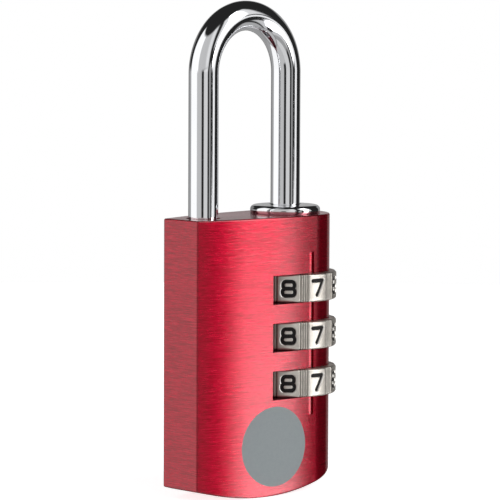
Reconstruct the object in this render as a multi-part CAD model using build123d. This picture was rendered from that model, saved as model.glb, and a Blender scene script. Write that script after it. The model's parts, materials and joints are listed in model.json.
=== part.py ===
"""Three-dial combination padlock.

The body is one bar with a flat toe side and a rounded heel side. The heel leg of the shackle runs
down through a stack of three splined clutch hubs, one in each number dial. Each hub has one gate
slot. With all three gates over the leg's fins the shackle can be pulled up by one dial pitch.

Frame: millimetres, +Z up along the shackle legs, -Y is the face with the reading line, +X is the
heel side. The origin is the centre of the lock's footprint, at the height of its lowest point.
"""
import os
from math import asin, cos, degrees, radians, sin, sqrt

from build123d import *

# Body
BODY_HEIGHT = 39.35      # lowest point of the arched bottom to the flat top
SIDE_THICKNESS = 6.8     # thickness at the flat toe side
FACE_RADIUS = 70.0       # gentle bulge of the front and back faces
END_RADIUS = 6.38        # round heel side, about the dial axis
SIDE_REACH = 20.45       # dial axis to the flat toe side
BOTTOM_RADIUS = 37.4     # arch of the bottom edge
BOTTOM_REACH = 9.38      # dial axis to the lowest point of the arch
EDGE_ROUND = 0.25
CUT_MARGIN = 1.0         # how far a cutter runs past the face it enters

# Shackle
LEG_SPACING = 16.1
ROD_RADIUS = 2.1
CLEARANCE = 26.0         # inside height of the shackle above the body
TOE_DEPTH = 5.8
TOE_HOLE_RADIUS = 2.4
TOE_HOLE_DEPTH = 7.0
HEEL_DEPTH = 31.0
ROD_CHAMFER = 0.5

# Dials
DIAL_RADIUS = 7.39
DIAL_HEIGHT = 3.98
DIAL_PITCH = 6.74
FIRST_DIAL_DEPTH = 10.22  # top of the body to the middle of the upper dial
DIAL_NAMES = ("upper", "middle", "lower")
DIGIT_COUNT = 10
DIGIT_STEP = 360 / DIGIT_COUNT
SHOWN_DIGIT = 7
INDEX_ANGLE = -4.5       # middle of the shown digit, turned from -Y towards +X
DIAL_EDGE_CHAMFER = 0.2
FLUTE_RADIUS = 0.15
FLUTE_ANGLES = (-4.2, -1.4, 1.4, 4.2)
DIGIT_WIDTH = 1.8        # between stroke centre lines
DIGIT_HEIGHT = 2.0
STROKE = 0.42
ENGRAVING_DEPTH = 0.28
CORNER_RADIUS = 0.42     # bends of the digits' strokes

# Windows in the body that hold the dials
WINDOW_HEIGHT = 4.1
WINDOW_REACH = 8.17      # dial axis to the windows' straight wall

# Bore and clutch
BORE_RADIUS = 4.5
BORE_DEPTH = 33.5
HUB_RADIUS = 4.42
HUB_END_GAP = 0.05
HUB_HOLE_RADIUS = 2.18
HUB_FLUTE_WIDTH = 1.1
HUB_FLUTE_FLOOR = 3.95
NECK_LOW = -0.4          # ring groove that frees the dial when the code is changed
NECK_HIGH = 1.4
KEY_WIDTH = 0.95         # keys inside the dial that sit in the hub's flutes
KEY_TIP = 4.03
KEY_ROOT = 5.0           # buried in the dial
KEY_LOW = -1.9
KEY_HIGH = -0.5
FIN_REACH = 3.2          # fins on the heel leg, pointing at the toe leg
FIN_WIDTH = 1.6
FIN_HEIGHT = 1.3
GATE_WIDTH = 1.9
CHAMBER_RADIUS = 3.4
CHAMBER_HEIGHT = 2.0
WASHER_HEIGHT = 0.4
WASHER_HOLE_RADIUS = 3.45

# Heel collar, spacer, seat and reset spring
COLLAR_RADIUS = 4.99
COLLAR_HEIGHT = 1.15
COLLAR_ROUND = 0.65
COLLAR_HOLE_RADIUS = 2.16
COLLAR_SHANK = 2.77
SEAT_HEIGHT = 0.8
SPRING_WIRE = 0.7
SPRING_RADIUS = 3.6      # to the middle of the wire
SPRING_TURNS = 4
END_GAP = 0.02           # between a spring's end and its seat

# Detents that click each dial into place
BALL_RADIUS = 0.8
BALL_GAP = 0.03          # ball to dial
DETENT_HOLE_RADIUS = 0.85
DETENT_HOLE_DEPTH = 4.6
DETENT_WIRE = 0.2
DETENT_COIL_RADIUS = 0.6
DETENT_TURNS = 7

# Reading line and badge
LINE_ANGLE = -8.6
LINE_WIDTH = 0.9
LINE_DEPTH = 0.3
LINE_TOP = 5.2           # below the top of the body
LINE_BOTTOM = 28.35
BADGE_RADIUS = 5.65
BADGE_THICKNESS = 0.3
BADGE_REACH = 7.75       # dial axis to the badge's centre
BADGE_DEPTH = 32.3       # top of the body to the badge's centre

# Places in the frame
DIAL_X = (SIDE_REACH - DIAL_RADIUS) / 2
TOE_X = DIAL_X - LEG_SPACING
SIDE_X = DIAL_X - SIDE_REACH
BEND_RADIUS = LEG_SPACING / 2
BEND_Z = BODY_HEIGHT + CLEARANCE + ROD_RADIUS - BEND_RADIUS
DIAL_Z = [BODY_HEIGHT - FIRST_DIAL_DEPTH - DIAL_PITCH * i for i in range(3)]
HUB_HEIGHT = DIAL_PITCH - WASHER_HEIGHT - 2 * HUB_END_GAP
WASHER_Z = [DIAL_Z[0] + DIAL_PITCH * (0.5 - i) for i in range(4)]
SEAT_TOP = WASHER_Z[-1] - WASHER_HEIGHT / 2
BORE_FLOOR = BODY_HEIGHT - BORE_DEPTH
DETENT_ANGLE = radians(INDEX_ANGLE)
BALL_REACH = DIAL_RADIUS + BALL_GAP + BALL_RADIUS
BALL_X = DIAL_X - BALL_REACH * cos(DETENT_ANGLE)
BALL_Y = -BALL_REACH * sin(DETENT_ANGLE)


def rod(radius, low, high, x=DIAL_X, y=0.0):
    """An upright round bar between two heights."""
    return Pos(x, y, low) * Cylinder(radius, high - low, align=(Align.CENTER, Align.CENTER, Align.MIN))


def tube(outer, inner, low, high):
    """An upright ring about the dial axis."""
    return rod(outer, low, high) - rod(inner, low - CUT_MARGIN, high + CUT_MARGIN)


def face_arc(radius_change=0.0):
    """Centre and radius of the front face's arc, which starts at the toe side's edge and runs
    smoothly into the round heel side. Both are measured from the dial axis."""
    corner_x, corner_y = -SIDE_REACH, -SIDE_THICKNESS / 2
    distance = FACE_RADIUS - END_RADIUS
    span = (FACE_RADIUS**2 - distance**2 - corner_x**2 - corner_y**2) / 2
    # the centre (x, y) has x^2 + y^2 = distance^2 and -x corner_x - y corner_y = span
    corner_length = sqrt(corner_x**2 + corner_y**2)
    along = -span / corner_length
    across = sqrt(distance**2 - along**2)
    unit_x, unit_y = corner_x / corner_length, corner_y / corner_length
    centre_x = along * unit_x + across * unit_y
    centre_y = along * unit_y - across * unit_x
    return centre_x, centre_y, FACE_RADIUS + radius_change


def face_y(reach, centre, radius):
    """Height of the front face's arc at a distance from the dial axis."""
    return centre[1] - sqrt(radius**2 - (reach - centre[0]) ** 2)


def body_outline(inset=0.0):
    """The body's plan, or the same plan with its skin taken off."""
    centre_x, centre_y, radius = face_arc(-inset)
    centre = (centre_x, centre_y)
    end = END_RADIUS - inset
    side = -SIDE_REACH + inset
    corner_y = face_y(side, centre, radius)
    middle_y = face_y(side / 2, centre, radius)
    length = sqrt(centre_x**2 + centre_y**2)
    meet_x, meet_y = -centre_x / length * end, -centre_y / length * end
    front = ThreePointArc((side, corner_y), (side / 2, middle_y), (meet_x, meet_y))
    heel = ThreePointArc((meet_x, meet_y), (end, 0), (meet_x, -meet_y))
    back = ThreePointArc((meet_x, -meet_y), (side / 2, -middle_y), (side, -corner_y))
    toe = Line((side, -corner_y), (side, corner_y))
    return Pos(DIAL_X, 0) * make_face([front, heel, back, toe])


def body_blank():
    """The bar before machining: its plan, cut by the arched bottom."""
    bar = extrude(body_outline(), BODY_HEIGHT)
    arch = Pos(DIAL_X - BOTTOM_REACH, 0, BOTTOM_RADIUS) * Rot(90, 0, 0)
    above = Pos(0, 0, BOTTOM_RADIUS / 2) * Box(
        4 * SIDE_REACH, 4 * END_RADIUS, BODY_HEIGHT, align=(Align.CENTER, Align.CENTER, Align.MIN)
    )
    bar &= arch * Cylinder(BOTTOM_RADIUS, 4 * END_RADIUS) + above
    rims = bar.faces().sort_by(Axis.Z)
    corners = bar.edges().filter_by(GeomType.LINE).filter_by(Axis.Z).group_by(Axis.X)[0]
    return fillet([*corners, *rims[0].edges(), *rims[-1].edges()], EDGE_ROUND)


def badge():
    """A thin round inlay that follows the front face."""
    centre_x, centre_y, _ = face_arc()
    lean = degrees(asin((-BADGE_REACH - centre_x) / FACE_RADIUS))
    place = Pos(DIAL_X - BADGE_REACH, face_y(-BADGE_REACH, (centre_x, centre_y), FACE_RADIUS), 0)
    plug = Pos(0, 0, BODY_HEIGHT - BADGE_DEPTH) * Rot(90, 0, lean) * Cylinder(BADGE_RADIUS, END_RADIUS)
    skin = extrude(body_outline(), BODY_HEIGHT) - extrude(body_outline(BADGE_THICKNESS), BODY_HEIGHT)
    return place * plug & skin


def window(height_z):
    """The slot that a dial sits in, open to the front, the back and the heel side."""
    length = WINDOW_REACH + 2 * END_RADIUS
    return Pos(DIAL_X - WINDOW_REACH, 0, height_z) * Box(
        length, 4 * END_RADIUS, WINDOW_HEIGHT, align=(Align.MIN, Align.CENTER, Align.CENTER)
    )


def detent_hole(height_z):
    """A blind hole in a window's straight wall for one ball and its spring."""
    return (
        Pos(DIAL_X - WINDOW_REACH, BALL_Y, height_z)
        * Rot(0, -90, 0)
        * Cylinder(DETENT_HOLE_RADIUS, DETENT_HOLE_DEPTH, align=(Align.CENTER, Align.CENTER, Align.MIN))
    )


def reading_line():
    """The upright groove beside the shown digits."""
    outside = END_RADIUS - LINE_DEPTH
    middle_z = BODY_HEIGHT - (LINE_TOP + LINE_BOTTOM) / 2
    groove = Pos(0, -outside, 0) * Box(
        LINE_WIDTH, CUT_MARGIN, LINE_BOTTOM - LINE_TOP, align=(Align.CENTER, Align.MAX, Align.CENTER)
    )
    return Pos(DIAL_X, 0, middle_z) * Rot(0, 0, LINE_ANGLE) * groove


def lock_body(badge_inlay):
    """The body with its bore, toe hole, windows, reading line and badge recess."""
    body = body_blank() - badge_inlay - reading_line()
    body -= rod(BORE_RADIUS, BORE_FLOOR, BODY_HEIGHT + CUT_MARGIN)
    body -= rod(TOE_HOLE_RADIUS, BODY_HEIGHT - TOE_HOLE_DEPTH, BODY_HEIGHT + CUT_MARGIN, TOE_X)
    for height_z in DIAL_Z:
        body -= window(height_z)
        body -= detent_hole(height_z)
    return body


def fin(height_z):
    """One of the lugs that lock the shackle to the hubs."""
    block = Pos(DIAL_X, 0, height_z) * Box(
        FIN_REACH, FIN_WIDTH, FIN_HEIGHT, align=(Align.MAX, Align.CENTER, Align.CENTER)
    )
    return block & rod(FIN_REACH, height_z - FIN_HEIGHT, height_z + FIN_HEIGHT)


def shackle():
    """A round bar bent to a half circle, with a short toe leg and a long finned heel leg."""
    toe_z = BODY_HEIGHT - TOE_DEPTH
    heel_z = BODY_HEIGHT - HEEL_DEPTH
    toe = Line((TOE_X, 0, toe_z), (TOE_X, 0, BEND_Z))
    middle_x = (TOE_X + DIAL_X) / 2
    bend = ThreePointArc((TOE_X, 0, BEND_Z), (middle_x, 0, BEND_Z + BEND_RADIUS), (DIAL_X, 0, BEND_Z))
    heel = Line((DIAL_X, 0, BEND_Z), (DIAL_X, 0, heel_z))
    bar = sweep(Pos(TOE_X, 0, toe_z) * Circle(ROD_RADIUS), path=Wire([toe, bend, heel]))
    rims = bar.edges().filter_by(GeomType.CIRCLE)
    end_rims = [rim for height in (toe_z, heel_z) for rim in rims.filter_by_position(Axis.Z, height, height)]
    bar = chamfer(end_rims, ROD_CHAMFER)
    for height_z in DIAL_Z:
        bar += fin(height_z)
    return bar


def collar_bush():
    """The bright ring around the heel leg, with a shank pressed into the bore. Its lower end stops
    the upper fin when the shackle is pulled up."""
    ring = rod(COLLAR_RADIUS, BODY_HEIGHT, BODY_HEIGHT + COLLAR_HEIGHT)
    ring = fillet(ring.edges().group_by(Axis.Z)[-1], COLLAR_ROUND)
    ring += rod(BORE_RADIUS, BODY_HEIGHT - COLLAR_SHANK, BODY_HEIGHT)
    low, high = BODY_HEIGHT - COLLAR_SHANK - CUT_MARGIN, BODY_HEIGHT + COLLAR_HEIGHT + CUT_MARGIN
    return ring - rod(COLLAR_HOLE_RADIUS, low, high)


def around(count, piece, start=0.0):
    """Copies of a piece in a ring about the dial axis, as a list."""
    step = 360 / count
    return [Pos(DIAL_X, 0) * Rot(0, 0, start + step * i) * piece for i in range(count)]


def hub(height_z):
    """The splined sleeve that joins one dial to the lock work. The leg's fin rests in its chamber,
    and leaves through the gate slot when the right digit is shown."""
    low, high = height_z - HUB_HEIGHT / 2, height_z + HUB_HEIGHT / 2
    sleeve = tube(HUB_RADIUS, HUB_HOLE_RADIUS, low, high)
    sleeve -= rod(CHAMBER_RADIUS, height_z - CHAMBER_HEIGHT / 2, height_z + CHAMBER_HEIGHT / 2)
    gate = Pos(DIAL_X, 0, height_z) * Box(
        CHAMBER_RADIUS, GATE_WIDTH, 2 * HUB_HEIGHT, align=(Align.MAX, Align.CENTER, Align.CENTER)
    )
    sleeve -= gate & rod(CHAMBER_RADIUS, low - CUT_MARGIN, high + CUT_MARGIN)
    flute = Pos(-HUB_FLUTE_FLOOR, 0, height_z) * Box(
        CUT_MARGIN, HUB_FLUTE_WIDTH, 2 * HUB_HEIGHT, align=(Align.MAX, Align.CENTER, Align.CENTER)
    )
    sleeve -= around(DIGIT_COUNT, flute)
    return sleeve - tube(HUB_RADIUS + CUT_MARGIN, HUB_FLUTE_FLOOR, height_z + NECK_LOW, height_z + NECK_HIGH)


def straight_stroke(start, end):
    """A straight pen line with round ends."""
    dot = Circle(STROKE / 2)
    return trace(Line(start, end), STROKE) + Pos(*start) * dot + Pos(*end) * dot


def bent_stroke(points):
    """A pen line with round bends and round ends."""
    dot = Circle(STROKE / 2)
    line = trace(FilletPolyline(*points, radius=CORNER_RADIUS), STROKE)
    return line + Pos(*points[0]) * dot + Pos(*points[-1]) * dot


def loop(low, high):
    """A closed pen line around the cell's full width, between two heights."""
    height = (high - low) * DIGIT_HEIGHT / 2
    outer = RectangleRounded(DIGIT_WIDTH + STROKE, height + STROKE, CORNER_RADIUS + STROKE / 2)
    inner = RectangleRounded(DIGIT_WIDTH - STROKE, height - STROKE, CORNER_RADIUS - STROKE / 2)
    return Pos(0, (low + high) / 2 * DIGIT_HEIGHT / 2) * (outer - inner)


def digit(number):
    """The outline of one digit, centred. Its points run from -1 to 1 across the cell."""
    loops = {0: [(-1, 1)], 6: [(-1, 0)], 8: [(-1, 0), (0, 1)], 9: [(0, 1)]}
    bends = {
        2: [[(-1, 1), (1, 1), (1, 0), (-1, 0), (-1, -1), (1, -1)]],
        3: [[(-1, 1), (1, 1), (1, 0), (-0.3, 0)], [(-0.3, 0), (1, 0), (1, -1), (-1, -1)]],
        5: [[(1, 1), (-1, 1), (-1, 0), (1, 0), (1, -1), (-1, -1)]],
        6: [[(0.8, 1), (-1, 1), (-1, -0.5)]],
        9: [[(1, 0.5), (1, -1), (-0.8, -1)]],
    }
    straights = {
        1: [(-0.6, 0.5), (0.1, 1), (0.1, -1)],
        4: [(0.4, -1), (0.4, 1), (-1, -0.4), (1, -0.4)],
        7: [(-1, 1), (1, 1), (-0.2, -1)],
    }
    half_width, half_height = DIGIT_WIDTH / 2, DIGIT_HEIGHT / 2
    shape = Sketch()
    for low, high in loops.get(number, []):
        shape += loop(low, high)
    for points in bends.get(number, []):
        shape += bent_stroke([(x * half_width, y * half_height) for x, y in points])
    corners = [(x * half_width, y * half_height) for x, y in straights.get(number, [])]
    for start, end in zip(corners, corners[1:]):
        shape += straight_stroke(start, end)
    return shape


def engraving(number):
    """The cutter for one digit, placed on the rim of a dial whose middle is at the origin."""
    turn = INDEX_ANGLE + (SHOWN_DIGIT - number) * DIGIT_STEP
    floor = Plane(
        origin=(0, -(DIAL_RADIUS - ENGRAVING_DEPTH), 0), x_dir=(1, 0, 0), z_dir=(0, -1, 0)
    )
    return Rot(0, 0, turn) * extrude(floor * digit(number), 2 * ENGRAVING_DEPTH)


def dial():
    """A number dial about the origin: ten smooth faces with fluted bands between them, engraved
    digits, and two keys inside that sit in the hub's flutes."""
    plan = Circle(DIAL_RADIUS)
    for face in range(DIGIT_COUNT):
        middle = INDEX_ANGLE + DIGIT_STEP * (face + 0.5)
        for offset in FLUTE_ANGLES:
            plan -= Rot(0, 0, middle + offset) * Pos(0, -DIAL_RADIUS) * Circle(FLUTE_RADIUS)
    ring = extrude(plan, DIAL_HEIGHT / 2, both=True)
    blank = Cylinder(DIAL_RADIUS, DIAL_HEIGHT)
    ring &= chamfer(blank.edges().filter_by(GeomType.CIRCLE), DIAL_EDGE_CHAMFER)
    ring -= Cylinder(BORE_RADIUS, 2 * DIAL_HEIGHT)
    for turn in (0, 180):
        key = Pos(-KEY_TIP, 0, (KEY_LOW + KEY_HIGH) / 2) * Box(
            KEY_ROOT - KEY_TIP, KEY_WIDTH, KEY_HIGH - KEY_LOW, align=(Align.MAX, Align.CENTER, Align.CENTER)
        )
        ring += Rot(0, 0, turn) * key
    for number in range(DIGIT_COUNT):
        ring -= engraving(number)
    return ring


def coil(radius, wire, low, high, turns):
    """A compression spring about the Z axis, between two heights."""
    rise = high - low - wire
    path = Helix(pitch=rise / turns, height=rise, radius=radius)
    section = Plane(origin=path @ 0, z_dir=path % 0) * Circle(wire / 2)
    return Pos(0, 0, low + wire / 2) * sweep(section, path=path)


def reset_spring():
    """The spring that holds the hub stack up and gives way when the code is changed."""
    low = BORE_FLOOR + END_GAP
    high = SEAT_TOP - SEAT_HEIGHT - END_GAP
    return Pos(DIAL_X, 0, 0) * coil(SPRING_RADIUS, SPRING_WIRE, low, high, SPRING_TURNS)


def detent_spring(height_z):
    """The small spring behind a detent ball, along the X axis."""
    back = BALL_X - BALL_RADIUS - END_GAP
    floor = DIAL_X - WINDOW_REACH - DETENT_HOLE_DEPTH + END_GAP
    spring = coil(DETENT_COIL_RADIUS, DETENT_WIRE, 0, back - floor, DETENT_TURNS)
    return Pos(floor, BALL_Y, height_z) * Rot(0, 90, 0) * spring


def pieces():
    """Every sub-part by the name of its file."""
    inlay = badge()
    made = {
        "lock_body": lock_body(inlay),
        "badge_disc": inlay,
        "shackle": shackle(),
        "collar_bush": collar_bush(),
        "spacer_sleeve": tube(BORE_RADIUS, WASHER_HOLE_RADIUS, WASHER_Z[0] + WASHER_HEIGHT / 2,
                              BODY_HEIGHT - COLLAR_SHANK),
        "spring_seat": tube(BORE_RADIUS, HUB_HOLE_RADIUS, SEAT_TOP - SEAT_HEIGHT, SEAT_TOP),
        "reset_spring": reset_spring(),
    }
    for place, height_z in enumerate(WASHER_Z):
        low, high = height_z - WASHER_HEIGHT / 2, height_z + WASHER_HEIGHT / 2
        made[f"hub_washer_{place + 1}"] = tube(BORE_RADIUS, WASHER_HOLE_RADIUS, low, high)
    number_dial = dial()
    for name, height_z in zip(DIAL_NAMES, DIAL_Z):
        made[f"dial_{name}"] = Pos(DIAL_X, 0, height_z) * number_dial
        made[f"hub_{name}"] = hub(height_z)
        made[f"detent_ball_{name}"] = Pos(BALL_X, BALL_Y, height_z) * Sphere(BALL_RADIUS)
        made[f"detent_spring_{name}"] = detent_spring(height_z)
    return made


os.makedirs("parts", exist_ok=True)
for node, shape in pieces().items():
    export_step(shape, f"parts/{node}.step")
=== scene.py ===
"""Looks of the three-dial combination padlock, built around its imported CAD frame.

Lengths are in millimetres until mesh_piece() turns them into metres.
"""
import json
from math import ceil, cos, pi, radians, sin

import bpy
import numpy as np
from mathutils import Matrix, Vector


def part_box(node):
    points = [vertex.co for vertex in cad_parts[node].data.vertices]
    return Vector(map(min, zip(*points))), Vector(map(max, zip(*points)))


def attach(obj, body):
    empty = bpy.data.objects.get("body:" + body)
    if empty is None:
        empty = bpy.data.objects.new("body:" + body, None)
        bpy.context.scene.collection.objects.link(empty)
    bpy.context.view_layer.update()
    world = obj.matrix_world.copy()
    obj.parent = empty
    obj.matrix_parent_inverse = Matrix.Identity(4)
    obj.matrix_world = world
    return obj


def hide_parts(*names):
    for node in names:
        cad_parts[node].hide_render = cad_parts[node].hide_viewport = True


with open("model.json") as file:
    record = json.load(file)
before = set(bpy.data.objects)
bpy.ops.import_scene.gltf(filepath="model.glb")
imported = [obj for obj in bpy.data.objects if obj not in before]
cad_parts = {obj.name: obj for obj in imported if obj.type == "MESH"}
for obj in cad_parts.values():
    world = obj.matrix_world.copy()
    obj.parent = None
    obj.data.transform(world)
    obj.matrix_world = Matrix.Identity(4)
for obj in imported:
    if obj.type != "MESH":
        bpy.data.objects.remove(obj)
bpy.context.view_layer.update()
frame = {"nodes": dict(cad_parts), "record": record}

MM = 0.001

# Places read from the frame, in millimetres
SHACKLE_LOW, SHACKLE_HIGH = (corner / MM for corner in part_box("shackle"))
COLLAR_LOW, COLLAR_HIGH = (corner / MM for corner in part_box("collar_bush"))
TOP = (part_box("lock_body")[1] / MM).z
DIAL_NAMES = ("upper", "middle", "lower")
DIAL_BOXES = {name: [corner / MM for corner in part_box(f"dial_{name}")] for name in DIAL_NAMES}
DIAL_LOW, DIAL_HIGH = DIAL_BOXES["upper"]
AXIS_X = (DIAL_LOW.x + DIAL_HIGH.x) / 2
DIAL_RADIUS = (DIAL_HIGH.x - DIAL_LOW.x) / 2
DIAL_HEIGHT = DIAL_HIGH.z - DIAL_LOW.z

# Shackle
ROD_RADIUS = (SHACKLE_HIGH.y - SHACKLE_LOW.y) / 2
TOE_X = SHACKLE_LOW.x + ROD_RADIUS
BEND_RADIUS = (AXIS_X - TOE_X) / 2
BEND_Z = SHACKLE_HIGH.z - ROD_RADIUS - BEND_RADIUS
TOE_DEPTH = 5.8
END_CHAMFER = 0.5
FIN_REACH, FIN_WIDTH, FIN_HEIGHT = 3.2, 1.6, 1.3
FIN_BEVEL = 0.12
FIN_ROOT = 0.4
BAR_POINTS = 96
TOE_RINGS, BEND_RINGS, HEEL_RINGS = 24, 121, 40

# Collar
COLLAR_ROUND = 0.65
COLLAR_BREAK = 0.05
COLLAR_PLAY = 0.06
COLLAR_STEPS = 17

# Dials
DIGITS = 10
STEP = 2 * pi / DIGITS
SHOWN_DIGIT = 7
INDEX_ANGLE = radians(-4.5)
HOLE_RADIUS = 4.5
KEY_WIDTH, KEY_TIP, KEY_LOW, KEY_HIGH = 0.95, 4.03, -1.9, -0.5
KEY_SLOPE = 0.02
EDGE_ROUND = 0.35
BAND_HALF = radians(5.6)
BAND_GROOVES = 4
BAND_DEPTH = 0.14
BAND_DIP = 0.06
DIGIT_HALF_WIDTH = 0.9
DIGIT_HALF_HEIGHT = 1.0
BEND = 0.45
STROKE_HALF = 0.255
ENGRAVING_DEPTH = 0.2
SLOPE_OUT, SLOPE_IN = 0.1, 0.03
COLUMNS_PER_DIGIT = 96
ROW_SPACING = 0.05
NO_INK = 1.0
FAR = 9.0

# Studio
FLOOR_RADIUS = 300.0
STUDIO_FILL = 0.02
CAMERA_PLACE = (-311.14, -317.99, 73.76)
CAMERA_HEADING, CAMERA_PITCH, CAMERA_ROLL = radians(44.336), radians(-5.063), radians(0.25)
SENSOR_WIDTH, FOCAL_LENGTH = 36.0, 227.24


# ---------------------------------------------------------------- mesh helpers

def mesh_piece(name, points, faces, smooth=True):
    """A mesh object from points in millimetres."""
    mesh = bpy.data.meshes.new(name)
    mesh.from_pydata([tuple(MM * c for c in point) for point in points], [], faces)
    mesh.validate()
    mesh.update()
    if smooth:
        mesh.shade_smooth()
    piece = bpy.data.objects.new(name, mesh)
    bpy.context.scene.collection.objects.link(piece)
    return piece


def skin(rings):
    """Faces between rings of points, each ring closed on itself, with a cap at each end."""
    count = len(rings[0])
    points = [point for ring in rings for point in ring]
    faces = []
    for row in range(len(rings) - 1):
        for column in range(count):
            after = (column + 1) % count
            faces.append((row * count + column, row * count + after,
                          (row + 1) * count + after, (row + 1) * count + column))
    faces.append(tuple(range(count - 1, -1, -1)))
    faces.append(tuple((len(rings) - 1) * count + column for column in range(count)))
    return points, faces


def circle(centre, across, up, radius, count):
    """A ring of points about a centre, in the plane of two directions."""
    turns = [2 * pi * k / count for k in range(count)]
    return [centre + radius * (cos(t) * across + sin(t) * up) for t in turns]


def smoothstep(low, high, value):
    """A soft step from 0 at low to 1 at high."""
    t = np.clip((value - low) / (high - low), 0.0, 1.0)
    return t * t * (3 - 2 * t)


# ---------------------------------------------------------------- shackle

def shackle_rings():
    """Rings along the bent bar from the toe to the heel, with a chamfer at each end."""
    count = BAR_POINTS
    across, front = Vector((1, 0, 0)), Vector((0, 1, 0))
    toe_z, heel_z = TOP - TOE_DEPTH, SHACKLE_LOW.z
    middle = Vector(((TOE_X + AXIS_X) / 2, 0, BEND_Z))
    slim = ROD_RADIUS - END_CHAMFER
    rings = [circle(Vector((TOE_X, 0, toe_z)), across, front, slim, count)]
    for height in np.linspace(toe_z + END_CHAMFER, BEND_Z, TOE_RINGS):
        rings.append(circle(Vector((TOE_X, 0, height)), across, front, ROD_RADIUS, count))
    for turn in np.linspace(0, pi, BEND_RINGS)[1:]:
        outward = Vector((-cos(turn), 0, sin(turn)))
        rings.append(circle(middle + BEND_RADIUS * outward, -outward, front, ROD_RADIUS, count))
    for height in np.linspace(BEND_Z, heel_z + END_CHAMFER, HEEL_RINGS)[1:]:
        rings.append(circle(Vector((AXIS_X, 0, height)), -across, front, ROD_RADIUS, count))
    rings.append(circle(Vector((AXIS_X, 0, heel_z)), -across, front, slim, count))
    return rings


def fin_rings(middle_z):
    """A lug that starts inside the heel leg and ends in a rounded face."""
    rings = []
    steps = ((ROD_RADIUS - FIN_ROOT, 0), (FIN_REACH - FIN_BEVEL, 0), (FIN_REACH, FIN_BEVEL))
    for reach, shrink in steps:
        wide, high = FIN_WIDTH / 2 - shrink, FIN_HEIGHT / 2 - shrink
        corners = [(-wide, -high), (-wide, high), (wide, high), (wide, -high)]
        rings.append([Vector((AXIS_X - reach, y, middle_z + z)) for y, z in corners])
    return rings


def make_shackle():
    """The bent bar and its fins, as one piece."""
    points, faces = skin(shackle_rings())
    for name in DIAL_NAMES:
        low, high = DIAL_BOXES[name]
        more_points, more_faces = skin(fin_rings((low.z + high.z) / 2))
        faces += [tuple(len(points) + corner for corner in face) for face in more_faces]
        points += more_points
    piece = mesh_piece("shackle_bar", points, faces)
    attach(piece, "shackle")
    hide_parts("shackle")
    return piece


# ---------------------------------------------------------------- turned parts

def rounded_path(corners, radius, steps=8):
    """An open line through corners, with its inner corners rounded."""
    path = [corners[0]]
    for before, corner, after in zip(corners, corners[1:], corners[2:]):
        a, c, b = (np.array(p, float) for p in (before, corner, after))
        to_a, to_b = (a - c) / np.linalg.norm(a - c), (b - c) / np.linalg.norm(b - c)
        half = np.arccos(np.clip(to_a @ to_b, -1, 1)) / 2
        reach = min(radius / np.tan(half), 0.49 * np.linalg.norm(a - c), 0.49 * np.linalg.norm(b - c))
        bend = reach * np.tan(half)
        bisector = (to_a + to_b) / np.linalg.norm(to_a + to_b)
        centre = c + bisector * bend / np.sin(half)
        start, end = c + to_a * reach - centre, c + to_b * reach - centre
        sweep = pi - 2 * half
        for k in range(steps + 1):
            share = k / steps
            spread = (start * np.sin((1 - share) * sweep) + end * np.sin(share * sweep)) / np.sin(sweep)
            path.append(tuple(centre + spread))
    path.append(corners[-1])
    return path


def turned(name, profile, count=160):
    """A ring-shaped solid: a closed profile of (radius, height) turned about the dial axis."""
    turns = [2 * pi * k / count for k in range(count)]
    points, faces = [], []
    for turn in turns:
        points += [Vector((AXIS_X + r * cos(turn), r * sin(turn), z)) for r, z in profile]
    size = len(profile)
    for column in range(count):
        after = (column + 1) % count
        for row in range(size):
            below = (row + 1) % size
            faces.append((column * size + row, column * size + below,
                          after * size + below, after * size + row))
    return mesh_piece(name, points, faces)


def make_collar():
    """The bright ring round the heel leg, with its shank in the bore."""
    hole = ROD_RADIUS + COLLAR_PLAY
    rim = COLLAR_HIGH.x - AXIS_X
    low, high = COLLAR_LOW.z, COLLAR_HIGH.z
    turns = np.linspace(0, pi / 2, COLLAR_STEPS)
    shoulder = [(rim - COLLAR_ROUND * (1 - cos(t)), high - COLLAR_ROUND * (1 - sin(t))) for t in turns]
    profile = [(HOLE_RADIUS, low), (HOLE_RADIUS, TOP), (rim - COLLAR_BREAK, TOP),
               (rim, TOP + COLLAR_BREAK), *shoulder, (hole + COLLAR_BREAK, high),
               (hole, high - COLLAR_BREAK), (hole, low)]
    piece = turned("heel_collar", profile)
    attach(piece, "lock")
    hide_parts("collar_bush")
    return piece


# ---------------------------------------------------------------- dials

def digit_paths(number):
    """The centre lines of one digit's strokes, in units of half its width and half its height."""
    bent = {
        0: [[(0, -1), (-1, -1), (-1, 1), (1, 1), (1, -1), (0, -1)]],
        2: [[(-1, 1), (1, 1), (1, 0), (-1, 0), (-1, -1), (1, -1)]],
        3: [[(-1, 1), (1, 1), (1, 0), (-0.3, 0)], [(-0.3, 0), (1, 0), (1, -1), (-1, -1)]],
        5: [[(1, 1), (-1, 1), (-1, 0), (1, 0), (1, -1), (-1, -1)]],
        6: [[(0.8, 1), (-1, 1), (-1, -1), (1, -1), (1, 0), (-1, 0)]],
        8: [[(0, 0), (-0.92, 0), (-0.92, 1), (0.92, 1), (0.92, 0), (0, 0)],
            [(0, 0), (-1, 0), (-1, -1), (1, -1), (1, 0), (0, 0)]],
        9: [[(-0.8, -1), (1, -1), (1, 1), (-1, 1), (-1, 0), (1, 0)]],
    }
    straight = {
        1: [[(-0.6, 0.5), (0.1, 1), (0.1, -1)]],
        4: [[(0.4, -1), (0.4, 1), (-1, -0.4), (1, -0.4)]],
        7: [[(-1, 1), (1, 1), (-0.2, -1)]],
    }
    cell = np.array((DIGIT_HALF_WIDTH, DIGIT_HALF_HEIGHT))
    sized = [[tuple(cell * point) for point in line] for line in bent.get(number, [])]
    paths = [rounded_path(line, BEND) for line in sized]
    return paths + [[tuple(cell * point) for point in line] for line in straight.get(number, [])]


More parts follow.
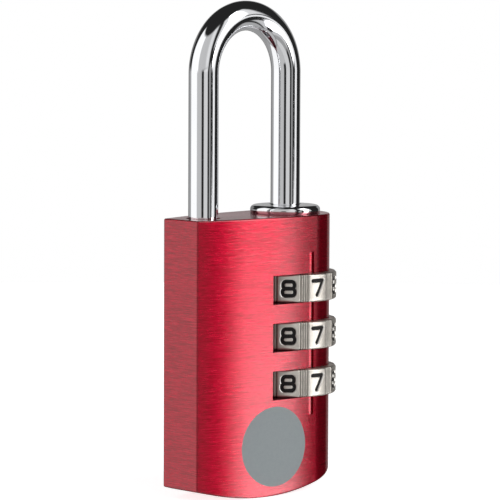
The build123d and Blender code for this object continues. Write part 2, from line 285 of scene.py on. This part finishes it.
def distance_to(paths, across, up):
    """Distance of each grid point to the nearest stroke's centre line."""
    nearest = np.full(across.shape, FAR)
    for path in paths:
        for (x0, y0), (x1, y1) in zip(path, path[1:]):
            run = (x1 - x0) ** 2 + (y1 - y0) ** 2
            if run < 1e-12:
                continue
            along = np.clip(((across - x0) * (x1 - x0) + (up - y0) * (y1 - y0)) / run, 0, 1)
            gap = np.hypot(across - x0 - along * (x1 - x0), up - y0 - along * (y1 - y0))
            nearest = np.minimum(nearest, gap)
    return nearest


def rim_surface():
    """The outer face of a dial about its own middle: columns of angle, rows of height, the radius
    at each point, the distance to the edge of the ink and the depth of the grip grooves."""
    half = DIAL_HEIGHT / 2
    flat = half - EDGE_ROUND
    turns = np.linspace(0, pi / 2, 7)[:-1]
    rows = np.linspace(-flat, flat, ceil(2 * flat / ROW_SPACING))
    heights = np.r_[[-flat - EDGE_ROUND * cos(t) for t in turns], rows,
                    [flat + EDGE_ROUND * cos(t) for t in turns[::-1]]]
    columns = DIGITS * COLUMNS_PER_DIGIT
    local = (np.arange(COLUMNS_PER_DIGIT) / COLUMNS_PER_DIGIT - 0.5) * STEP
    up, turn = np.meshgrid(heights, local)
    radius = np.full((columns, len(heights)), DIAL_RADIUS)
    ink = np.full(radius.shape, NO_INK)
    depth = np.zeros(radius.shape)
    band = STEP / 2 - np.abs(turn)
    groove = 0.5 - 0.5 * np.cos(2 * pi * BAND_GROOVES * (band + BAND_HALF) / (2 * BAND_HALF))
    recess = np.where(band < BAND_HALF, BAND_DEPTH * groove, 0.0)
    recess = recess + BAND_DIP * (1 - smoothstep(BAND_HALF * 0.8, BAND_HALF * 1.1, band))
    for place in range(DIGITS):
        number = (SHOWN_DIGIT - place) % DIGITS
        rows_here = slice(place * COLUMNS_PER_DIGIT, (place + 1) * COLUMNS_PER_DIGIT)
        edge = distance_to(digit_paths(number), DIAL_RADIUS * turn, up) - STROKE_HALF
        ink[rows_here] = edge
        cut = ENGRAVING_DEPTH * (1 - smoothstep(-SLOPE_IN, SLOPE_OUT, edge))
        radius[rows_here] -= np.maximum(recess, cut)
        depth[rows_here] = recess
    beyond = np.clip(np.abs(heights) - flat, 0, EDGE_ROUND)
    radius -= EDGE_ROUND - np.sqrt(EDGE_ROUND**2 - beyond**2)
    angles = INDEX_ANGLE + np.concatenate([local + place * STEP for place in range(DIGITS)])
    return angles, heights, radius, ink, depth


def make_dial(name, surface):
    """A number dial: the engraved rim, flat sides and the hole with its two keys."""
    angles, heights, radius, ink, depth = surface
    low, high = DIAL_BOXES[name]
    middle_z = (low.z + high.z) / 2
    half = DIAL_HEIGHT / 2
    inner_heights = [half, KEY_HIGH + KEY_SLOPE, KEY_HIGH, KEY_LOW, KEY_LOW - KEY_SLOPE, -half]
    key_gap = np.abs(np.sin(angles)) * HOLE_RADIUS
    on_key = key_gap < KEY_WIDTH / 2
    columns = len(angles)
    rings = [radius[:, row] for row in range(len(heights))]
    levels = list(heights)
    for level in inner_heights:
        keyed = on_key & (KEY_LOW - KEY_SLOPE / 2 <= level <= KEY_HIGH + KEY_SLOPE / 2)
        rings.append(np.where(keyed, KEY_TIP, HOLE_RADIUS))
        levels.append(level)
    around = -np.cos(angles)
    aside = np.sin(angles)
    points = []
    for ring, level in zip(rings, levels):
        points += [(AXIS_X + r * s, r * c, middle_z + level) for r, s, c in zip(ring, aside, around)]
    faces = []
    for row in range(len(rings)):
        below = (row + 1) % len(rings)
        for column in range(columns):
            after = (column + 1) % columns
            faces.append((row * columns + column, row * columns + after,
                          below * columns + after, below * columns + column))
    piece = mesh_piece(f"number_dial_{name}", points, faces)
    for mark, field, elsewhere in (("ink_edge", ink, NO_INK), ("groove_depth", depth, 0.0)):
        values = np.full(len(points), elsewhere, np.float32)
        values[: field.size] = field.T.ravel()
        piece.data.attributes.new(mark, "FLOAT", "POINT").data.foreach_set("value", values)
    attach(piece, f"dial_{name}")
    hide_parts(f"dial_{name}")
    return piece


# ---------------------------------------------------------------- materials

class Nodes:
    """A short way to build a node tree."""

    def __init__(self, tree):
        self.tree = tree
        tree.nodes.clear()

    def add(self, kind, inputs=None, **settings):
        node = self.tree.nodes.new(kind)
        for key, value in settings.items():
            setattr(node, key, value)
        for key, value in (inputs or {}).items():
            self.put(node.inputs[key], value)
        return node

    def put(self, socket, value):
        if isinstance(value, bpy.types.Node):
            value = value.outputs[0]
        if isinstance(value, bpy.types.NodeSocket):
            self.tree.links.new(value, socket)
        else:
            socket.default_value = value

    def math(self, operation, *values):
        return self.add("ShaderNodeMath", dict(enumerate(values)), operation=operation).outputs[0]

    def span(self, value, low, high, out_low=0.0, out_high=1.0, kind="SMOOTHSTEP"):
        return self.add("ShaderNodeMapRange", {"Value": value, "From Min": low, "From Max": high,
                        "To Min": out_low, "To Max": out_high}, interpolation_type=kind).outputs[0]

    def mix(self, share, first, second):
        node = self.add("ShaderNodeMix", data_type="RGBA")
        for place, value in ((0, share), (6, first), (7, second)):
            self.put(node.inputs[place], value)
        return node.outputs[2]

    def noise(self, place, stretch, scale=1.0, detail=2.0, rough=0.5):
        """Noise on object coordinates in millimetres, stretched along each axis."""
        mapped = self.add("ShaderNodeMapping", {"Vector": place, "Scale": stretch})
        node = self.add("ShaderNodeTexNoise", {"Vector": mapped, "Scale": scale, "Detail": detail,
                        "Roughness": rough})
        return node.outputs["Fac"]


def material(name, build):
    """A material whose nodes a builder fills in around one Principled shader."""
    made = bpy.data.materials.new(name)
    made.use_nodes = True
    nodes = Nodes(made.node_tree)
    place = nodes.add("ShaderNodeTexCoord").outputs["Object"]
    scaled = nodes.add("ShaderNodeVectorMath", {0: place, 3: 1 / MM}, operation="SCALE").outputs[0]
    shader = nodes.add("ShaderNodeBsdfPrincipled")
    build(nodes, shader, scaled)
    out = nodes.add("ShaderNodeOutputMaterial")
    made.node_tree.links.new(shader.outputs[0], out.inputs["Surface"])
    return made


def build_red(nodes, shader, place):
    """Red anodised aluminium, brushed across the body, with a smooth cut top in a paler pink-grey that
    is a painted reflection.
    """
    grain = nodes.noise(place, (0.3, 0.3, 8.0), 1.0, 3.0, 0.6)
    fine = nodes.noise(place, (0.9, 0.9, 20.0), 1.0, 2.0, 0.5)
    patches = nodes.noise(place, (0.12, 0.12, 0.3), 1.0, 2.0, 0.5)
    normal = nodes.add("ShaderNodeTexCoord").outputs["Normal"]
    upward = nodes.add("ShaderNodeSeparateXYZ", {0: normal}).outputs[2]
    top = nodes.span(upward, 0.7, 0.95)
    streak = nodes.math("ADD", nodes.math("MULTIPLY", grain, 0.5), nodes.math("MULTIPLY", fine, 0.5))
    bright = nodes.span(streak, 0.36, 0.64)
    colour = nodes.mix(bright, (0.24, 0.0005, 0.010, 1), (0.48, 0.0015, 0.025, 1))
    # Upward faces take a paler pink-grey colour: a painted reflection of the bright studio on the flat
    # top.
    nodes.put(shader.inputs["Base Color"], nodes.mix(top, colour, (0.42, 0.10, 0.13, 1)))
    shader.inputs["Metallic"].default_value = 0.78
    brushed = nodes.span(streak, 0.3, 0.7, 0.33, 0.23)
    rough = nodes.math("ADD", brushed, nodes.math("MULTIPLY", patches, 0.06))
    nodes.put(shader.inputs["Roughness"], nodes.add("ShaderNodeMix", {0: top, 2: rough, 3: 0.16}))
    shader.inputs["Specular IOR Level"].default_value = 0.0
    shader.inputs["Specular Tint"].default_value = (0.6, 0.0, 0.03, 1)
    shader.inputs["Anisotropic"].default_value = 1.0
    shader.inputs["Anisotropic Rotation"].default_value = 0.25
    tangent = nodes.add("ShaderNodeTangent", direction_type="RADIAL", axis="Z")
    nodes.put(shader.inputs["Tangent"], tangent)
    shader.inputs["Coat Weight"].default_value = 0.8
    shader.inputs["Coat Roughness"].default_value = 0.11
    shader.inputs["Coat IOR"].default_value = 1.64
    strength = nodes.span(upward, 0.7, 0.95, 1.0, 0.02)
    bump = nodes.add("ShaderNodeBump", {"Height": streak, "Strength": strength, "Distance": 0.000023})
    nodes.put(shader.inputs["Normal"], bump)
    calmer = nodes.add("ShaderNodeBump", {"Height": streak, "Strength": strength, "Distance": 0.000009})
    nodes.put(shader.inputs["Coat Normal"], calmer)


def build_chrome(nodes, shader, place):
    """Polished chrome with faint draw lines and a trace of uneven plating."""
    ripple = nodes.noise(place, (0.5, 0.5, 0.12), 1.0, 2.0, 0.4)
    specks = nodes.noise(place, (4.0, 4.0, 1.5), 1.0, 3.0, 0.6)
    nodes.put(shader.inputs["Base Color"],
              nodes.mix(ripple, (0.80, 0.81, 0.83, 1), (0.88, 0.885, 0.90, 1)))
    shader.inputs["Metallic"].default_value = 1.0
    nodes.put(shader.inputs["Roughness"], nodes.span(specks, 0.35, 0.75, 0.035, 0.09))
    bump = nodes.add("ShaderNodeBump", {"Height": ripple, "Strength": 0.12, "Distance": 0.00005})
    nodes.put(shader.inputs["Normal"], bump)


def build_dial(nodes, shader, place):
    """Satin nickel, tumbled, with black paint in the engraved digits, a painted highlight round each
    digit and painted shade in the grip grooves.
    """
    edge = nodes.add("ShaderNodeAttribute", attribute_name="ink_edge").outputs["Fac"]
    ink = nodes.span(edge, -0.015, 0.015, 1.0, 0.0)
    # A ring just outside each digit's paint, painted almost white: a painted highlight of the
    # engraving's edge catching light.
    engraving_painted_highlight = nodes.math("MULTIPLY", nodes.span(edge, 0.0, 0.03), nodes.span(edge, 0.07, 0.13, 1.0, 0.0))
    depth = nodes.add("ShaderNodeAttribute", attribute_name="groove_depth").outputs["Fac"]
    # Deeper parts of the grip grooves are painted darker: painted shade in the recesses.
    groove_painted_shade = nodes.span(depth, 0.04, 0.16)
    brush = nodes.noise(place, (1.2, 1.2, 9.0), 1.0, 4.0, 0.6)
    blotch = nodes.noise(place, (0.9, 0.9, 0.9), 1.0, 3.0, 0.55)
    metal = nodes.mix(nodes.span(blotch, 0.3, 0.7), (0.68, 0.635, 0.575, 1), (0.80, 0.75, 0.685, 1))
    metal = nodes.mix(nodes.math("MULTIPLY", brush, 0.25), metal, (0.34, 0.32, 0.29, 1))
    # Painted shade in the grip grooves.
    metal = nodes.mix(nodes.math("MULTIPLY", groove_painted_shade, 0.5), metal, (0.10, 0.09, 0.08, 1))
    # Painted highlight round the digits.
    metal = nodes.mix(nodes.math("MULTIPLY", engraving_painted_highlight, 0.8), metal, (0.95, 0.93, 0.90, 1))
    nodes.put(shader.inputs["Base Color"], nodes.mix(ink, metal, (0.014, 0.012, 0.012, 1)))
    nodes.put(shader.inputs["Metallic"], nodes.math("SUBTRACT", 1.0, ink))
    shader.inputs["Specular IOR Level"].default_value = 0.15
    worn = nodes.span(brush, 0.3, 0.7, 0.36, 0.46)
    nodes.put(shader.inputs["Roughness"], nodes.add("ShaderNodeMix", {0: ink, 2: worn, 3: 0.45}))
    bump = nodes.add("ShaderNodeBump", {"Height": brush, "Strength": 0.06, "Distance": 0.00001})
    nodes.put(shader.inputs["Normal"], bump)


def build_badge(nodes, shader, place):
    """Matt grey print on the metal, with a fine grain."""
    grain = nodes.noise(place, (0.8, 0.8, 8.0), 1.0, 3.0, 0.6)
    mottle = nodes.noise(place, (2.0, 2.0, 2.0), 1.0, 4.0, 0.6)
    colour = nodes.mix(mottle, (0.232, 0.262, 0.272, 1), (0.275, 0.305, 0.315, 1))
    nodes.put(shader.inputs["Base Color"], colour)
    nodes.put(shader.inputs["Roughness"], nodes.span(grain, 0.3, 0.7, 0.5, 0.62))
    bump = nodes.add("ShaderNodeBump", {"Height": grain, "Strength": 0.1, "Distance": 0.00002})
    nodes.put(shader.inputs["Normal"], bump)


def machined(light, dark, rough):
    """A builder of turned metal in two tones with fine rings from the tool."""
    def build(nodes, shader, place):
        rings = nodes.noise(place, (0.6, 0.6, 12.0), 1.0, 3.0, 0.6)
        stain = nodes.noise(place, (1.5, 1.5, 1.5), 1.0, 3.0, 0.6)
        nodes.put(shader.inputs["Base Color"], nodes.mix(stain, (*dark, 1), (*light, 1)))
        shader.inputs["Metallic"].default_value = 1.0
        nodes.put(shader.inputs["Roughness"], nodes.span(rings, 0.3, 0.7, rough, rough + 0.15))
        bump = nodes.add("ShaderNodeBump", {"Height": rings, "Strength": 0.2, "Distance": 0.00002})
        nodes.put(shader.inputs["Normal"], bump)
    return build


def cover(piece, made):
    """Gives a piece one material in place of any it had."""
    piece.data.materials.clear()
    piece.data.materials.append(made)


# ---------------------------------------------------------------- studio

def studio_world():
    """Two soft boxes, grey walls, dark flags, a pale floor and a dark ceiling, as seen in
    reflections. The camera itself sees plain white."""
    world = bpy.data.worlds.new("studio")
    bpy.context.scene.world = world
    world.use_nodes = True
    nodes = Nodes(world.node_tree)
    direction = nodes.add("ShaderNodeTexCoord").outputs["Generated"]
    parts = nodes.add("ShaderNodeSeparateXYZ", {0: direction})
    x, y, z = parts.outputs
    azimuth = nodes.math("MULTIPLY", nodes.math("ARCTAN2", x, nodes.math("MULTIPLY", y, -1.0)), 180 / pi)
    height = nodes.math("MULTIPLY", nodes.math("ARCSINE", z), 180 / pi)

    def panel(left, right, low, high, level, soft=3.0):
        """Light from a box of directions: azimuth from the lock's front towards +X, and height,
        both in degrees."""
        sides = nodes.math("MULTIPLY", nodes.span(azimuth, left - soft, left + soft),
                           nodes.span(azimuth, right - soft, right + soft, 1.0, 0.0))
        ends = nodes.math("MULTIPLY", nodes.span(height, low - soft, low + soft),
                          nodes.span(height, high - soft, high + soft, 1.0, 0.0))
        return nodes.math("MULTIPLY", nodes.math("MULTIPLY", sides, ends), level)

    panels = [
        # Soft box on the toe side, with the floor below it
        panel(-152, -95, -8, 52, 1.15),
        panel(-152, -95, -60, -8, 1.1),
        panel(-95, -87, 2, 52, 1.2),
        # Grey wall between the soft boxes, brighter toward the front, with its floor
        panel(-95, -58, -60, 2, 0.55),
        panel(-87, -58, 2, 52, 0.57),
        panel(-58, -8, 3, 52, 0.56),
        panel(-30, -10, 3, 52, 0.28, 8.0),
        panel(-58, -41, -60, -18, 0.55),
        panel(-41, -12, -60, 3, 0.68, 1.5),
        # Dark gap in front, with its floor
        panel(-12, 8, -60, -24, 0.35),
        # Soft box on the front right: a bright middle with paler sides, and a thin gap
        panel(8, 20, 12, 50, 0.8),
        panel(21, 40, 1, 52, 4.5),
        panel(40, 50, 9, 50, 0.8),
        panel(1, 12, -24, 4, 0.35, 1.5),
        panel(33, 52, -4.7, 4, 0.95, 1.0),
        panel(21, 40, -45, -6, 5.0),
        # Floor in front and on the right
        panel(8, 20, -60, -20, 0.6),
        panel(40, 54, -60, -24, 0.6),
        panel(62, 100, -60, -22, 0.42),
        # Dim room behind
        panel(98, 127, -14, 20, 0.3),
        panel(104, 186, -60, -14, 0.33),
        panel(140, 186, -14, 20, 0.2),
        panel(-186, -152, -60, 2, 0.38),
        # The patch that the flat top mirrors, and the floor straight below
        panel(127, 144, -2, 22, 0.4, 2.0),
        nodes.span(height, -66, -58, 0.52, 0.0),
    ]
    total = STUDIO_FILL
    for light in panels:
        total = nodes.math("ADD", total, light)
    seen = nodes.add("ShaderNodeLightPath").outputs["Is Camera Ray"]
    level = nodes.add("ShaderNodeMix", {0: seen, 2: total, 3: 1.0})
    back = nodes.add("ShaderNodeBackground", {"Color": (1, 1, 1, 1), "Strength": level})
    out = nodes.add("ShaderNodeOutputWorld")
    world.node_tree.links.new(back.outputs[0], out.inputs["Surface"])


def make_floor():
    """A plain pale round floor. Only the camera sees it: in reflections the studio's own light from
    below takes its place."""
    count = 96
    ring = circle(Vector((0, 0, 0)), Vector((1, 0, 0)), Vector((0, 1, 0)), FLOOR_RADIUS, count)
    floor = mesh_piece("studio_floor", ring, [tuple(range(count))], smooth=False)

    def build(nodes, shader, place):
        mottle = nodes.noise(place, (0.02, 0.02, 0.02), 1.0, 2.0, 0.5)
        nodes.put(shader.inputs["Base Color"],
                  nodes.mix(mottle, (0.90, 0.90, 0.90, 1), (0.92, 0.92, 0.92, 1)))
        shader.inputs["Roughness"].default_value = 0.9
        shader.inputs["Specular IOR Level"].default_value = 0.1
        shader.inputs["Emission Color"].default_value = (1, 1, 1, 1)
        shader.inputs["Emission Strength"].default_value = 0.8

    made = material("pale_floor", build)
    nodes = made.node_tree.nodes
    clear = nodes.new("ShaderNodeBsdfTransparent")
    switch = nodes.new("ShaderNodeMixShader")
    seen = nodes.new("ShaderNodeLightPath")
    link = made.node_tree.links.new
    link(seen.outputs["Is Camera Ray"], switch.inputs[0])
    link(clear.outputs[0], switch.inputs[1])
    link(nodes["Principled BSDF"].outputs[0], switch.inputs[2])
    link(switch.outputs[0], nodes["Material Output"].inputs["Surface"])
    cover(floor, made)


def make_camera():
    """The reference viewpoint: in front of the toe side, slightly above the lock."""
    camera = bpy.data.objects.new("camera", bpy.data.cameras.new("camera"))
    camera.data.sensor_width = SENSOR_WIDTH
    camera.data.lens = FOCAL_LENGTH
    camera.location = Vector(CAMERA_PLACE) * MM
    level = cos(CAMERA_PITCH)
    ahead = Vector((sin(CAMERA_HEADING) * level, cos(CAMERA_HEADING) * level, sin(CAMERA_PITCH)))
    turn = ahead.to_track_quat("-Z", "Y").to_matrix() @ Matrix.Rotation(CAMERA_ROLL, 3, "Z")
    camera.rotation_euler = turn.to_euler()
    camera.data.clip_start, camera.data.clip_end = 0.01, 10
    bpy.context.scene.collection.objects.link(camera)
    bpy.context.scene.camera = camera


# ---------------------------------------------------------------- assembly

chrome = material("polished_chrome", build_chrome)
cover(make_shackle(), chrome)
cover(make_collar(), chrome)

dial_metal = material("satin_nickel_dial", build_dial)
rim = rim_surface()
for dial_name in DIAL_NAMES:
    cover(make_dial(dial_name, rim), dial_metal)

brass = material("turned_brass", machined((0.80, 0.60, 0.28), (0.62, 0.44, 0.18), 0.28))
steel = material("spring_steel", machined((0.58, 0.58, 0.60), (0.40, 0.40, 0.43), 0.25))
ball = material("bearing_steel", machined((0.72, 0.72, 0.74), (0.60, 0.60, 0.63), 0.1))
by_slot = {
    "body": material("brushed_red_anodising", build_red),
    "badge": material("grey_badge_print", build_badge),
    "brass_work": brass,
    "spring_steel": steel,
    "ball_steel": ball,
    "shackle": chrome,
    "chrome_trim": chrome,
    "dial": dial_metal,
}
for part in frame["record"]["subparts"]:
    cover(frame["nodes"][part["node"]], by_slot[part["material_slot"]])

studio_world()
make_floor()
make_camera()
bpy.context.scene.view_settings.view_transform = "Standard"
